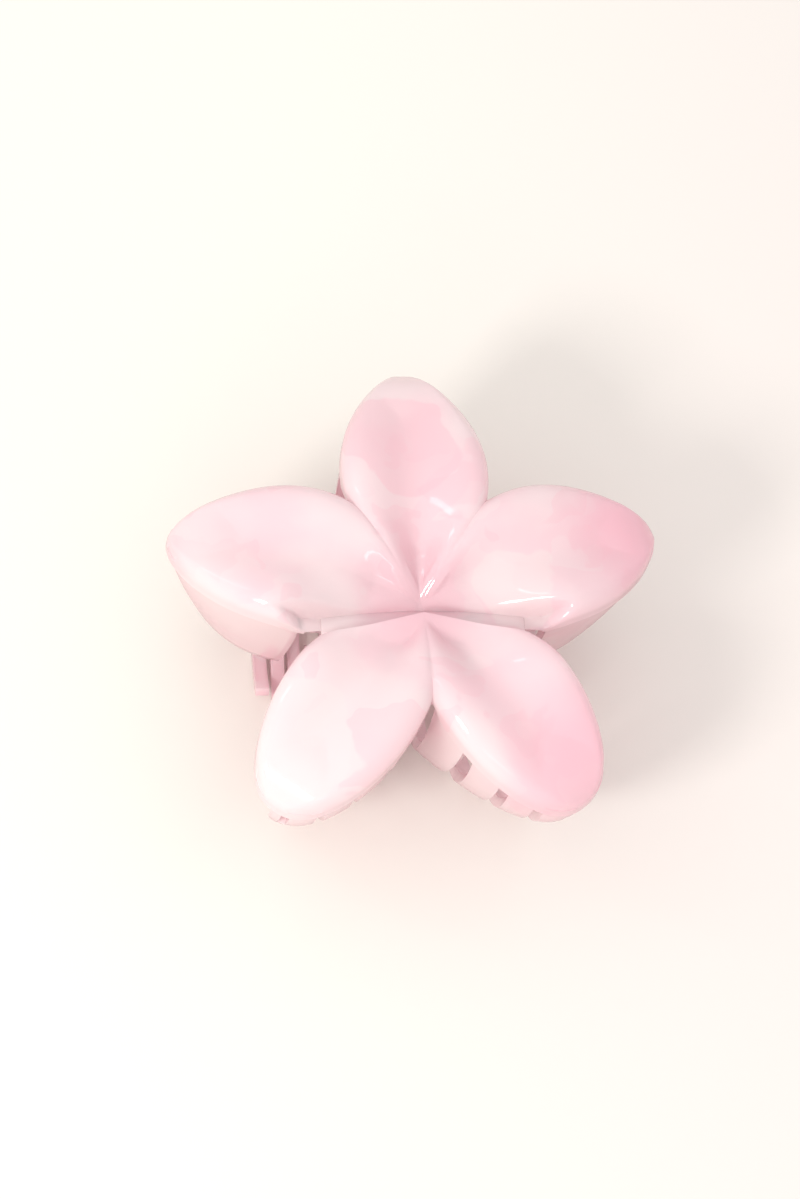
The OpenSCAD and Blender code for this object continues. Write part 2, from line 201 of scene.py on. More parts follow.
@dataclass(frozen=True)
class Flower:
    """Sizes of the flower in mm and the heights of its skin."""

    petal_len: float = 42.0
    petal_w: float = 24.0
    tip_z: float = 30.0
    rim_rise: float = 7.5
    rim_drop: float = 3.0
    channel_depth: float = 4.8
    wall: float = 1.6
    lip_h: float = 2.2
    wedge: float = 36.0
    crest_skew: float = 0.8
    crest_at: float = 0.74
    root_lap: float = 2.0
    tip_roll: float = 4.5
    tip_fill: float = 12.0
    jaw_inset: float = 0.5
    hinge_y: float = -5.0
    lug_r: float = 2.5
    bore_r: float = 1.15
    barrel_r: float = 4.4
    barrel_wall: float = 1.4
    barrel_half: float = 16.5
    open_angle: float = 40.0
    flank_slack: float = 2.5
    shell_gap: float = 0.3
    saddle_lift: float = 0.1
    sink: float = 0.25
    cap_soft: float = 1.2
    saddle_soft: float = 0.4
    seam_r: float = 16.5
    back_apex_y: float = -2.4
    front_apex_y: float = -3.2
    y_mid: float = 3.32

    @property
    def hinge_z(self) -> float:
        """Height of the hinge line."""
        return self.tip_z + 1.4 - self.barrel_r

    @property
    def saddle_r(self) -> float:
        """Radius at which the front half's skin rides over the barrel."""
        return self.barrel_r + self.shell_gap + self.wall + self.saddle_lift

    @property
    def mouth_r(self) -> float:
        """Distance along a petal at which its outline meets its neighbour's."""
        r = 15.0
        for _ in range(6):
            r = self.side_w(r, Side.FULL) / math.tan(math.radians(self.wedge))
        return r

    @property
    def front_corner(self) -> tuple[float, float]:
        """Where the front half's seam meets its petal's outline."""
        return LOW_LEFT.place(self.seam_r, -self.side_w(self.seam_r, Side.SEAM))

    def bulge(self, r: float, width: float, skew: float, roundness: float) -> float:
        """Half width of a leaf-like outline.

        Args:
            r: Distance along the petal.
            width: Full width of the petal.
            skew: Moves the widest place, outwards above 1.
            roundness: Makes the ends blunter the smaller it is.

        Returns:
            The half width.
        """
        u = clamp(r / self.petal_len, 0, 1)
        return width / 2 * max(sin_d(180 * u**skew), 0) ** roundness

    def side_w(self, r: float, side: Side) -> float:
        """Half width of one side of a petal at distance r."""
        if side is Side.SEAM:
            return self.bulge(r, self.petal_w * 0.87, 1.2, 0.4)
        if side is Side.ROUND:
            return self.bulge(r, self.petal_w, 1.08, 0.45)
        return self.bulge(r, self.petal_w, 1.0, 0.6)

    def crest_z(self, r: float) -> float:
        """Height of a petal's rims at distance r."""
        u = clamp(r / self.petal_len, 0, 1)
        return self.tip_z + self.rim_rise * sin_d(180 * u**self.crest_skew)

    def channel_z(self, r: float) -> float:
        """Height of the channel along a petal at distance r."""
        u = clamp(r / self.petal_len, 0, 1)
        return self.crest_z(r) - self.channel_depth * (1 - u**1.2) * clamp(r / 8, 0, 1)

    def side_crest_z(self, r: float, side: Side) -> float:
        """Height of one rim, which starts low beside the hinge valley."""
        if side is Side.LOW:
            low = self.tip_z + 1.2
            return lerp(low, self.crest_z(r), ramp((r - 7) / 16))
        if side is Side.SEAM:
            low = self.hinge_z + self.barrel_r + 2.2
            return lerp(low, self.crest_z(r), ramp((r - 9) / 14))
        return self.crest_z(r)

    def edge_drop(self, r: float) -> float:
        """Drop of a rim's rolled edge below its crest."""
        return self.rim_drop * ramp((r - 3) / 9)

    def petal_z(self, petal: Petal, x: float, y: float) -> float:
        """Height of one petal's skin, which falls away fast outside its outline.

        Args:
            petal: The petal.
            x: The point's x in the flower's axes.
            y: The point's y.

        Returns:
            The height over that point.
        """
        r, s = petal.along(x, y)
        side = petal.side(s)
        inner_w = (max(r, 0) + self.root_lap) * math.tan(math.radians(self.wedge))
        w = inner_w if r < 4 else min(self.side_w(r, side), inner_w)
        e = abs(s) / max(w, 0.05)
        near_tip = (r - self.petal_len + self.tip_fill) / (self.tip_fill - self.tip_roll)
        fill = ramp(max(e / self.crest_at, near_tip))
        past_crest = clamp((e - self.crest_at) / (1 - self.crest_at), 0, 1)
        past_end = clamp((r - self.petal_len + self.tip_roll) / self.tip_roll, 0, 1)
        rolled = quarter_roll(min(math.hypot(past_crest, past_end), 1))
        low = self.channel_z(r)
        crest = self.side_crest_z(r, side)
        return (
            lerp(low, crest, fill)
            - self.edge_drop(r) * rolled
            - 1.5 * max(abs(s) - w - 0.2, 0)
        )

    def seam_y(self, x: float) -> float:
        """The front half's straight seam edge at x."""
        corner = self.front_corner
        run = corner[1] - self.front_apex_y
        return self.front_apex_y + run * abs(x) / abs(corner[0])

    def back_cap(self, x: float, y: float) -> float:
        """Height that the back half's skin may reach beside the hinge valley.

        Args:
            x: Place along the hinge.
            y: Place across it.

        Returns:
            The height of the barrel, or of the flank that the opened front half clears.
        """
        reach = math.atan2(self.saddle_r, self.seam_y(x) - self.hinge_y)
        flank = min(math.degrees(reach) - self.open_angle - self.flank_slack, 85)
        flare = 0.3 * max(abs(x) - 16, 0) + 0.9 * max(abs(x) - 20, 0)
        free = self.barrel_r + flare - self.sink
        d = y - self.hinge_y
        barrel = self.hinge_z + math.sqrt(max(free * free - d * d, 0))
        return max(barrel, self.hinge_z + d * math.tan(math.radians(flank)))

    def back_z(self, x: float, y: float) -> float:
        """Height of the back half's skin."""
        petals = max(self.petal_z(p, x, y) for p in (TOP, LEFT, RIGHT))
        return soft_min(petals, self.back_cap(x, y), self.cap_soft)

    def front_z(self, x: float, y: float) -> float:
        """Height of the front half's skin."""
        d = y - self.hinge_y
        over = self.hinge_z + math.sqrt(max(self.saddle_r**2 - d * d, 0))
        petals = max(self.petal_z(p, x, y) for p in (LOW_LEFT, LOW_RIGHT))
        return soft_max(petals, over, self.saddle_soft)

    def outline_r(self, t: float) -> float:
        """Distance along a petal of outline place t: -1 and 1 at its mouths, 0 at its tip."""
        return self.mouth_r + (self.petal_len - self.mouth_r) * cos_d(90 * t)

    def outline_t(self, r: float) -> float:
        """Outline place at distance r on the left side, or at -r on the right side."""
        share = (abs(r) - self.mouth_r) / (self.petal_len - self.mouth_r)
        return math.degrees(math.acos(clamp(share, -1, 1))) / 90 * (-1 if r > 0 else 1)

    def outline_point(self, petal: Petal, t: float, inset: float) -> tuple[float, float]:
        """Point of a petal's outline.

        Args:
            petal: The petal.
            t: The outline place.
            inset: How far the point is moved in.

        Returns:
            The point's x and y.
        """
        r = self.outline_r(t)
        w = self.side_w(r, petal.left if t < 0 else petal.right)
        pull = 1.25 * inset * clamp(r / self.petal_len, 0, 1) ** 4
        side = (1 if t < 0 else -1) * w * (1 - 2 * inset / self.petal_w)
        return petal.place(r - pull, side)

    def wall_top(self, petal: Petal, t: float, inset: float) -> Point:
        """Where a wall hangs from, just inside the lip.

        Args:
            petal: The petal over the wall.
            t: The outline place.
            inset: How far the wall is set in.

        Returns:
            The point.
        """
        x, y = self.outline_point(petal, t, inset)
        r = self.outline_r(t)
        side = petal.left if t < 0 else petal.right
        return x, y, self.side_crest_z(r, side) - self.edge_drop(r) - self.lip_h / 2

    def lip(self, r: float) -> float:
        """Height of the plain lip under the outline."""
        return self.lip_h * clamp((r - self.mouth_r) / 4, 0.1, 1)


# ---------------------------------------------------------------- mesh helpers


class Maker:
    """Gathers the parts of one moulding in a bmesh, in mm in the flower's own axes."""

    def __init__(self, flower: Flower) -> None:
        """Starts an empty mesh."""
        self.flower = flower
        self.bm = bmesh.new()

    def grid(
        self,
        across: int,
        down: int,
        surface: Callable[[float, float], Point],
        outward: Callable[[Vector], Vector],
    ) -> list[bmesh.types.BMFace]:
        """Adds a grid bent to a surface.

        Args:
            across: Number of faces along the first share.
            down: Number of faces along the second share.
            surface: Gives the point for two shares from 0 to 1.
            outward: Gives the rough outward direction at a point.

        Returns:
            The grid's faces, pointing outwards.
        """
        made = bmesh.ops.create_grid(self.bm, x_segments=across, y_segments=down, size=0.5)
        verts = made["verts"]
        for v in verts:
            v.co = Vector(surface(v.co.x + 0.5, v.co.y + 0.5))
        faces = list({f for v in verts for f in v.link_faces})
        total = 0.0
        for f in faces:
            f.normal_update()
            total += f.normal.dot(outward(f.calc_center_median())) * f.calc_area()
        if total < 0:
            bmesh.ops.reverse_faces(self.bm, faces=faces)
        return faces

    def ring(self, r_in: float, r_out: float, x0: float, x1: float, segments: int = 64) -> None:
        """Adds a closed ring round the hinge line.

        Args:
            r_in: Its bore's radius.
            r_out: Its outer radius.
            x0: Where it starts.
            x1: Where it ends.
            segments: Number of faces round it.
        """
        y, z = self.flower.hinge_y, self.flower.hinge_z
        corners = [(x0, r_in), (x1, r_in), (x1, r_out), (x0, r_out)]
        verts = [self.bm.verts.new((x, y, z + r)) for x, r in corners]
        edges = [self.bm.edges.new((verts[i], verts[(i + 1) % 4])) for i in range(4)]
        before = set(self.bm.faces)
        bmesh.ops.spin(
            self.bm,
            geom=verts + edges,
            cent=(0, y, z),
            axis=(1, 0, 0),
            angle=2 * math.pi,
            steps=segments,
            use_merge=True,
        )
        made = [f for f in self.bm.faces if f not in before]
        bmesh.ops.recalc_face_normals(self.bm, faces=made)

    def rod(self, radius: float, x0: float, x1: float, y: float, z: float, edge: float) -> None:
        """Adds a round rod along X.

        Args:
            radius: Its radius.
            x0: Where it starts.
            x1: Where it ends.
            y: Its middle's y.
            z: Its middle's z.
            edge: Width of its softened ends.
        """
        turn = Matrix.Translation(((x0 + x1) / 2, y, z)) @ Matrix.Rotation(math.pi / 2, 4, "Y")
        made = bmesh.ops.create_cone(
            self.bm,
            cap_ends=True,
            segments=48,
            radius1=radius,
            radius2=radius,
            depth=abs(x1 - x0),
            matrix=turn,
        )
        verts = made["verts"]
        rims = [
            e
            for e in {e for v in verts for e in v.link_edges}
            if abs(e.verts[0].co.x - e.verts[1].co.x) < 1e-6
        ]
        bmesh.ops.bevel(
            self.bm,
            geom=rims,
            offset=edge,
            offset_type="OFFSET",
            segments=3,
            profile=0.5,
            affect="EDGES",
            material=-1,
        )

    def merge(self, distance: float = 1e-4) -> None:
        """Joins points that fall together."""
        bmesh.ops.remove_doubles(self.bm, verts=self.bm.verts[:], dist=distance)
        bmesh.ops.dissolve_degenerate(self.bm, dist=distance / 10, edges=self.bm.edges[:])

    def piece(
        self, name: str, thickness: float = 0.0, bevel: float = 0.0, sharp: float = 42.0
    ) -> bpy.types.Object:
        """Finishes the mesh as one object.

        Args:
            name: The piece's name.
            thickness: Wall that a Solidify modifier gives inwards, in mm.
            bevel: Width of the softened edges, in mm.
            sharp: Angle in degrees above which an edge stays sharp.

        Returns:
            The object, at the origin with its place in its mesh, in metres.
        """
        mesh = bpy.data.meshes.new(name)
        self.bm.transform(Matrix.Scale(MM, 4) @ Matrix.Translation((0, -self.flower.y_mid, 0)))
        self.bm.to_mesh(mesh)
        self.bm.free()
        draft = bpy.data.objects.new(name + "_draft", mesh)
        bpy.context.scene.collection.objects.link(draft)
        if thickness:
            solid = draft.modifiers.new("Wall", "SOLIDIFY")
            solid.thickness = thickness * MM
            solid.offset = -1
            solid.use_quality_normals = True
        if bevel:
            soft = draft.modifiers.new("Soft edges", "BEVEL")
            soft.width = bevel * MM
            soft.segments = 2
            soft.limit_method = "ANGLE"
            soft.angle_limit = math.radians(sharp)
        bpy.context.view_layer.update()
        graph = bpy.context.evaluated_depsgraph_get()
        final = bpy.data.meshes.new_from_object(draft.evaluated_get(graph))
        final.name = name
        bpy.data.objects.remove(draft)
        bpy.data.meshes.remove(mesh)
        for polygon in final.polygons:
            polygon.use_smooth = True
        final.set_sharp_from_angle(angle=math.radians(sharp))
        obj = bpy.data.objects.new(name, final)
        bpy.context.scene.collection.objects.link(obj)
        LOG.info("%s: %d faces", name, len(final.polygons))
        return obj


# ---------------------------------------------------------------- materials


class Number:
    """A number in a shader, which adds Math nodes as it is used in expressions."""

    def __init__(self, graph: "Graph", socket: bpy.types.NodeSocket) -> None:
        """Wraps an output socket."""
        self.graph = graph
        self.socket = socket

    def _maths(self, operation: str, a: "Number | float", b: "Number | float") -> "Number":
        """Adds one Math node."""
        return self.graph.number("ShaderNodeMath", {"operation": operation}, {0: a, 1: b})

    def __add__(self, other: "Number | float") -> "Number":
        """Sum."""
        return self._maths("ADD", self, other)

    def __radd__(self, other: float) -> "Number":
        """Sum with a plain number first."""
        return self._maths("ADD", other, self)

    def __sub__(self, other: "Number | float") -> "Number":
        """Difference."""
        return self._maths("SUBTRACT", self, other)

    def __rsub__(self, other: float) -> "Number":
        """Difference with a plain number first."""
        return self._maths("SUBTRACT", other, self)

    def __mul__(self, other: "Number | float") -> "Number":
        """Product."""
        return self._maths("MULTIPLY", self, other)

    def __rmul__(self, other: float) -> "Number":
        """Product with a plain number first."""
        return self._maths("MULTIPLY", other, self)


class Graph:
    """The nodes of one material."""

    def __init__(self, name: str) -> None:
        """Starts an empty material."""
        self.material = bpy.data.materials.new(name)
        self.material.use_nodes = True
        self.tree = self.material.node_tree
        self.tree.nodes.clear()

    def node(
        self, kind: str, settings: dict, values: dict, output: int | str = 0
    ) -> bpy.types.NodeSocket:
        """Adds a node.

        Args:
            kind: The node's type.
            settings: Its settings, which are set before its sockets.
            values: Socket names or numbers with constants or links.
            output: The output socket that is wanted.

        Returns:
            That output socket.
        """
        made = self.tree.nodes.new(kind)
        for key, value in settings.items():
            setattr(made, key, value)
        for key, value in values.items():
            source = value.socket if isinstance(value, Number) else value
            if isinstance(source, bpy.types.NodeSocket):
                self.tree.links.new(source, made.inputs[key])
            elif isinstance(source, (tuple, list)) and len(source) == 3:
                wide = len(made.inputs[key].default_value) == 4
                made.inputs[key].default_value = (*source, 1.0) if wide else source
            else:
                made.inputs[key].default_value = source
        return made.outputs[output]

    def number(self, kind: str, settings: dict, values: dict, output: int | str = 0) -> Number:
        """Adds a node and wraps one of its outputs."""
        return Number(self, self.node(kind, settings, values, output))

    def place(self) -> bpy.types.NodeSocket:
        """The object coordinates."""
        return self.node("ShaderNodeTexCoord", {}, {}, "Object")

    def noise(
        self,
        where: bpy.types.NodeSocket,
        scale: float,
        detail: float,
        distortion: float = 0.0,
    ) -> Number:
        """A noise value from 0 to 1."""
        values = {"Vector": where, "Scale": scale, "Detail": detail, "Distortion": distortion}
        return self.number("ShaderNodeTexNoise", {}, values)

    def step(self, value: Number, low: float, high: float) -> Number:
        """A smooth step from 0 at low to 1 at high."""
        settings = {"interpolation_type": "SMOOTHSTEP"}
        values = {"Value": value, "From Min": low, "From Max": high}
        return self.number("ShaderNodeMapRange", settings, values)

    def blend(self, share: Number | float, a: Tint, b: Tint) -> bpy.types.NodeSocket:
        """A colour between a and b."""
        return self.node("ShaderNodeMix", {"data_type": "RGBA"}, {0: share, 6: a, 7: b}, 2)

    def vectors(
        self, operation: str, a: Tint, b: Tint, output: str = "Vector"
    ) -> bpy.types.NodeSocket:
        """Adds one Vector Math node."""
        return self.node("ShaderNodeVectorMath", {"operation": operation}, {0: a, 1: b}, output)

    def bump(self, height: Number, strength: float, distance: float) -> bpy.types.NodeSocket:
        """A normal bent by a height."""
        values = {"Strength": strength, "Distance": distance, "Height": height}
        return self.node("ShaderNodeBump", {}, values)

    def close(self, shader: bpy.types.NodeSocket) -> bpy.types.Material:
        """Ends the material with its surface."""
        out = self.tree.nodes.new("ShaderNodeOutputMaterial")
        self.tree.links.new(shader, out.inputs["Surface"])
        return self.material


@dataclass(frozen=True)
class Cloud:
    """A placed patch of another colour, in mm in the flower's axes, used for painted shade,
    painted reflections and plain tone.
    """

    centre: Point
    radius: float
    edge: float
    shade: Colour
    strength: float


@dataclass(frozen=True)
class MarbledPlasticWithPaintedLight:
    """Glossy, milky, slightly see-through plastic with wavy clouds of two pinks; also painted
    shade and reflections.
    """

    mid: Colour = linear(255, 229, 234)
    pale: Colour = linear(255, 243, 243)
    deep: Colour = linear(255, 211, 220)
    through: Colour = linear(255, 232, 238)
    clear_share: float = 0.36
    roughness: float = 0.07
    swirl_scale: float = 70.0
    swirl_reach: float = 0.014
    broad_scale: float = 48.0
    patch_scale: float = 85.0
    patch_share: float = 0.45
    vein_scale: float = 62.0
    vein_share: float = 0.35
    ripple_scale: float = 160.0
    haze_scale: float = 240.0
    clouds: tuple[Cloud, ...] = ()
    y_mid: float = 3.32

    def material(self) -> bpy.types.Material:
        """Builds the material."""
        g = Graph("marbled_plastic_painted_light")
        place = g.place()
        swirl = g.node(
            "ShaderNodeTexNoise",
            {},
            {"Vector": place, "Scale": self.swirl_scale, "Detail": 3.0},
            "Color",
        )
        centred = g.vectors("SUBTRACT", swirl, (0.5, 0.5, 0.5))
        drift = g.node(
            "ShaderNodeVectorMath",
            {"operation": "SCALE"},
            {0: centred, "Scale": self.swirl_reach},
            "Vector",
        )
        bent = g.vectors("ADD", place, drift)
        broad = g.step(g.noise(bent, self.broad_scale, 2.0), 0.38, 0.62)
        colour = g.blend(broad, self.mid, self.pale)
        # Sharp-edged pale patches: marbling which also stands in for painted window
        # reflections.
        crisp = g.step(g.noise(bent, self.patch_scale, 1.0, 0.6), 0.555, 0.575)
        colour = g.blend(crisp * self.patch_share, colour, self.pale)
        vein = g.step(g.noise(bent, self.vein_scale, 2.0, 0.8), 0.40, 0.42)
        colour = g.blend(self.vein_share - vein * self.vein_share, colour, self.deep)
        # Placed clouds: painted shade in the funnel and channel, painted reflections, and plain
        # tone on the tips.
        for cloud in self.clouds:
            x, y, z = cloud.centre
            middle = (x * MM, (y - self.y_mid) * MM, z * MM)
            far = Number(g, g.vectors("DISTANCE", bent, middle, "Value"))
            edge = g.step(far, (cloud.radius - cloud.edge) * MM, cloud.radius * MM)
            share = (1.0 - edge) * cloud.strength
            colour = g.blend(share, colour, cloud.shade)
        bump = g.bump(g.noise(place, self.ripple_scale, 2.0), 0.05, 0.0004)
        rough = g.noise(place, self.haze_scale, 3.0) * 0.06 + self.roughness
        skin = g.node(
            "ShaderNodeBsdfPrincipled",
            {},
            {
                "Base Color": colour,
                "Roughness": rough,
                "IOR": 1.5,
                "Coat Weight": 1.0,
                "Coat Roughness": 0.03,
                "Normal": bump,
            },
        )
        glow = g.node("ShaderNodeBsdfTranslucent", {}, {"Color": self.through})
        mixed = g.node("ShaderNodeMixShader", {}, {0: self.clear_share, 1: skin, 2: glow})
        return g.close(mixed)


@dataclass(frozen=True)
class Steel:
    """Drawn or turned steel with fine lines along X and faint darker patches."""

    name: str
    light: Colour = (0.62, 0.63, 0.65)
    dark: Colour = (0.42, 0.43, 0.45)
    roughness: float = 0.24
    lines: float = 2600.0
    stretch: float = 0.05
    patches: float = 420.0

    def material(self) -> bpy.types.Material:
        """Builds the material."""
        g = Graph(self.name)
        place = g.place()
        drawn = g.node(
            "ShaderNodeMapping", {}, {"Vector": place, "Scale": (self.stretch, 1.0, 1.0)}
        )
        streak = g.noise(drawn, self.lines, 2.0)
        patch = g.noise(place, self.patches, 3.0)
        colour = g.blend(g.step(patch, 0.35, 0.7), self.light, self.dark)
        bump = g.bump(streak, 0.12, 0.0001)
        metal = g.node(
            "ShaderNodeBsdfPrincipled",
            {},
            {
                "Base Color": colour,
                "Metallic": 1.0,
                "Roughness": streak * 0.14 + self.roughness,
                "Normal": bump,
            },
        )
        return g.close(metal)


# ---------------------------------------------------------------- the two mouldings


@dataclass
class Half:
    """Shared work of the two moulded halves."""

    flower: Flower
    plastic: bpy.types.Material
    body: Body = Body.BACK
    node: str = "back_half"
    pieces: list[bpy.types.Object] = field(default_factory=list)
    column_steps: int = 44
    row_steps: int = 58
    lip_steps: int = 4
    row_crowding: float = 1.45
    keeper_y: float = 9.0
    keeper_drop: float = 3.6
    keeper_r: float = 1.1
    web_lap: float = 0.9

    def keep(self, obj: bpy.types.Object) -> bpy.types.Object:
        """Gives a finished piece its plastic and its body, and hides the node it stands for.

        Args:
            obj: The piece.

        Returns:
            The same piece.
        """
        obj.data.materials.clear()
        obj.data.materials.append(self.plastic)
        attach(obj, self.body.value)
        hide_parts(self.node)
        self.pieces.append(obj)
        return obj

    def skin(
        self,
        name: str,
        columns: Sequence[tuple[tuple[float, float], Petal, float]],
        height: Callable[[float, float], float],
    ) -> None:
        """Adds the petals of this half as one sheet with a rolled edge and a lip.

        Args:
            name: The piece's name.
            columns: Each column's starting point, petal and outline place.
            height: The skin's height over a point.
        """
        flower = self.flower
        maker = Maker(flower)
        count = len(columns) - 1
        rows = self.row_steps + self.lip_steps

        def surface(u: float, v: float) -> Point:
            """A point of one column, with rows that crowd towards the outline."""
            start, petal, t = columns[round(u * count)]
            row = round(v * rows)
            f = 1 - (1 - min(row / self.row_steps, 1)) ** self.row_crowding
            end = flower.outline_point(petal, t, 0)
            x, y = lerp(start[0], end[0], f), lerp(start[1], end[1], f)
            under = max(row - self.row_steps, 0) / self.lip_steps
            return x, y, height(x, y) - under * flower.lip(flower.outline_r(t))

        maker.grid(count, rows, surface, lambda _: Vector((0, 0, 1)))
        maker.merge(2e-3)
        self.keep(maker.piece(name, thickness=flower.wall, sharp=60))

    def fan(
        self, start: tuple[float, float], petal: Petal, t0: float, t1: float
    ) -> list[tuple[tuple[float, float], Petal, float]]:
        """Columns from one starting point over part of a petal's outline.

        Args:
            start: Where they all start.
            petal: The petal.
            t0: The first outline place.
            t1: The last outline place.

        Returns:
            The columns.
        """
        count = max(round(self.column_steps * abs(t1 - t0)), 2)
        return [(start, petal, lerp(t0, t1, i / count)) for i in range(count + 1)]

    def keeper(self, maker: Maker, side: int, half_length: float) -> None:
        """Adds the round bar under a spring leg.

        Args:
            maker: The mesh to add to.
            side: 1 towards the back, -1 towards the front.
            half_length: Half the bar's length.
        """
        y = self.flower.hinge_y + side * self.keeper_y
        z = self.flower.hinge_z - self.keeper_drop
        maker.rod(self.keeper_r, -half_length, half_length, y, z, 0.2)

    def web(
        self,
        maker: Maker,
        columns: Sequence[tuple[float, float, float]],
        x0: float,
        thick: float,
        height: Callable[[float, float], float],
    ) -> None:
        """Adds a flat web on both sides of the middle.

        Args:
            maker: The mesh to add to.
            columns: Each column's distance from the hinge line and its lower and upper
                heights from it, the upper one TO_SKIN where the web meets the skin.
            x0: Where the web's inner face lies.
            thick: The web's thickness.
            height: The skin's height over a point.
        """
        flower = self.flower
        count = len(columns) - 1
        for side in (-1, 1):

            def surface(u: float, v: float, side: int = side) -> Point:
                """A point of the web's outer face."""
                d, low, high = columns[round(u * count)]
                x, y = side * (x0 + thick), flower.hinge_y + d
                top = flower.hinge_z + high
                if high == TO_SKIN:
                    top = min(height(side * (x0 + thick / 2), y) - self.web_lap, top)
                return x, y, lerp(flower.hinge_z + low, top, v)

            maker.grid(count, 2, surface, lambda _, side=side: Vector((side, 0, 0)))


@dataclass(frozen=True)
class Prongs:
    """Sizes of the combs in mm."""

    pitch: float = 5.75
    slot_w: float = 1.2
    slot_mid_w: float = 2.2
    tip_w: float = 2.2
    knee_z: float = 8.0
    land_len: float = 3.5
    land_y: float = 9.0
    tip_pass: float = 4.5
    tip_rise: float = 2.6
    lean: float = 0.03
    top_z: float = 37.5
    taper_y: float = 26.0

    def point(self, top: Point, k: float, side: int) -> Point:
        """A point of a prong.

        Args:
            top: Where the prong hangs from.
            k: How far down it: to 1 down the curve, to 2 over the land, to 3 at the tip.
            side: 1 for the back comb, -1 for the front one.

        Returns:
            The point.
        """
        yb = side * self.land_y
        yl = side * (self.land_y - self.land_len)
        yt = -side * self.tip_pass
        bend = 90 * clamp(k, 0, 1)
        land, tip = clamp(k - 1, 0, 1), clamp(k - 2, 0, 1)
        x = top[0] * (1 - self.lean * (1 - cos_d(bend)))
        y = yb + (top[1] - yb) * cos_d(bend) + (yl - yb) * land + (yt - yl) * tip
        z = top[2] * (1 - sin_d(bend)) + self.tip_rise * tip * tip
        return x, y, z

    def gap(self, y: float, z: float, side: int) -> float:
        """Half the gap between two prongs.

        Args:
            y: The place's y.
            z: The place's height.
            side: 1 for the back comb, -1 for the front one.

        Returns:
            Half the gap there.
        """
        if z > self.knee_z:
            share = clamp((z - self.knee_z) / (self.top_z - self.knee_z), 0, 1)
            return lerp(self.slot_mid_w, self.slot_w, share) / 2
        full = (self.pitch - self.tip_w) / 2
        inner = self.land_y - self.land_len
        share = clamp((self.taper_y - side * y) / (self.taper_y - inner), 0, 1)
        return lerp(self.slot_mid_w / 2, full, share)


@dataclass
class Comb:
    """A comb's walls: each is a petal with the outline places between which it hangs."""

    flower: Flower
    sizes: Prongs
    side: int
    curve_steps: int = 22

    def place_of(self, petal: Petal, t0: float, t1: float, x: float) -> float:
        """The outline place at which the wall's outer face has this x.

        Args:
            petal: The petal over the wall.
            t0: One end of the wall.
            t1: Its other end.
            x: The x looked for.

        Returns:
            The outline place between t0 and t1.
        """
        a, b = t0, t1
        rising = self.x_at(petal, b) > self.x_at(petal, a)
        for _ in range(26):
            m = (a + b) / 2
            if (self.x_at(petal, m) < x) == rising:
                a = m
            else:
                b = m
        return (a + b) / 2

    def x_at(self, petal: Petal, t: float) -> float:
        """The x of the wall's top at an outline place."""
        return self.flower.outline_point(petal, t, self.flower.jaw_inset)[0]

    def rows(self) -> list[float]:
        """Places down a prong, from its top to its tip."""
        curve = [i / self.curve_steps for i in range(self.curve_steps + 1)]
        land = [1.34, 1.67, 2.0]
        tip = [2 + i / 8 for i in range(1, 9)]
        return curve + land + tip

    def strip(
        self,
        maker: Maker,
        wall: tuple[Petal, float, float],
        low: Callable[[float, float], float],
        high: Callable[[float, float], float],
        across: int = 4,
        first: float = 0.0,
        last: float = 3.0,
    ) -> None:
        """Adds one prong or part of one.

        Args:
            maker: The mesh to add to.
            wall: The petal and the outline places of the wall it is cut from.
            low: The lower x limit for a y and z.
            high: The upper x limit for a y and z.
            across: Number of faces over its width.
            first: Where it starts down the curve.
            last: Where it ends.
        """
        petal, t0, t1 = wall
        ends = sorted((self.x_at(petal, t0), self.x_at(petal, t1)))
        rows = [k for k in self.rows() if first <= k <= last]

        def surface(u: float, v: float) -> Point:
            """A point of the outer face, settled in a few rounds as its limits move."""
            k = rows[round(v * (len(rows) - 1))]
            lean = 1 - self.sizes.lean * (1 - cos_d(90 * clamp(k, 0, 1)))
            x, point = sum(ends) / 2, (0.0, 0.0, 20.0)
            for _ in range(4):
                left = max(low(point[1], point[2]), ends[0] * lean)
                right = min(high(point[1], point[2]), ends[1] * lean)
                x = lerp(left, right, u)
                t = self.place_of(petal, t0, t1, x / lean)
                top = self.flower.wall_top(petal, t, self.flower.jaw_inset)
                point = self.sizes.point(top, k, self.side)
            return x, point[1], point[2]

        def outward(p: Vector) -> Vector:
            """Away from the hair space, and down under the lands."""
            return Vector((0, p.y, p.z - 15)) if p.z > 2 else Vector((0, 0, -1))

        maker.grid(across, len(rows) - 1, surface, outward)

    def prong(self, maker: Maker, wall: tuple[Petal, float, float], centre: float) -> None:
        """Adds one whole prong with slots on both its sides.

        Args:
            maker: The mesh to add to.
            wall: The petal and the outline places of the wall it is cut from.
            centre: The x of its middle.
        """
        half = self.sizes.pitch / 2
        self.strip(
            maker,
            wall,
            lambda y, z: centre - half + self.sizes.gap(y, z, self.side),
            lambda y, z: centre + half - self.sizes.gap(y, z, self.side),
        )


